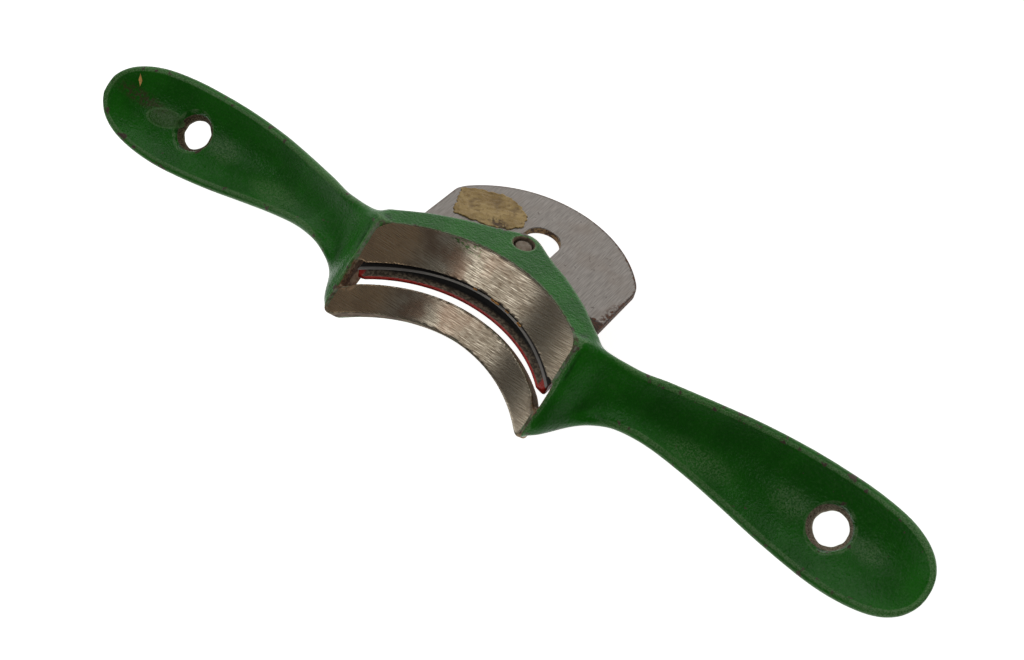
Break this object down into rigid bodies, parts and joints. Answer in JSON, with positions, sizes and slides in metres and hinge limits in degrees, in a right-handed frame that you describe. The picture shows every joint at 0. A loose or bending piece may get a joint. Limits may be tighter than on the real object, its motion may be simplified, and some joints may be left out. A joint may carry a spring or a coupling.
{
  "type": "hollow-face spokeshave",
  "caption": "Metal hand shave with a hollow ground sole, raised side handles, a sloping flat iron, a lever cap and a knurled cap screw.",
  "frame": {"origin": "under the middle of the tool's length and depth, at the height of its lowest point as it lies on its back with the sole up", "axes": "+X along the handles, with the toe at -Y; +Y towards the rear, the way the top of the iron leans; +Z out of the sole"},
  "size_m": [0.235, 0.057, 0.0398],
  "materials": {
    "green_enamel": "glossy green enamel over rough cast iron, with the sole ground bare",
    "iron_steel": "ground tool steel with rust at the edges",
    "red_enamel": "glossy red enamel over cast iron",
    "screw_steel": "plain steel, slightly tarnished"
  },
  "bodies": {
    "casting": {"body_casting": "green_enamel"},
    "iron": {"cutting_iron": "iron_steel"},
    "cap": {"lever_cap": "red_enamel"},
    "screw": {"cap_screw": "screw_steel"}
  },
  "joints": [
    {"name": "iron_slide", "type": "slide", "parent": "casting", "child": "iron", "axis": [0, -0.7431, 0.6691], "range_m": [-0.003, 0.0032]},
    {"name": "cap_lift", "type": "slide", "parent": "casting", "child": "cap", "axis": [0, -0.6691, -0.7431], "range_m": [0, 0.0008]},
    {"name": "screw_turn", "type": "hinge", "parent": "cap", "child": "screw", "pos_m": [0, 0.0085, 0.01949], "axis": [0, -0.6691, -0.7431], "range_deg": [0, 360]}
  ],
  "couplings": [
    {"joint": "cap_lift", "follows": "screw_turn", "m_per_rad": 0.00012732}
  ]
}
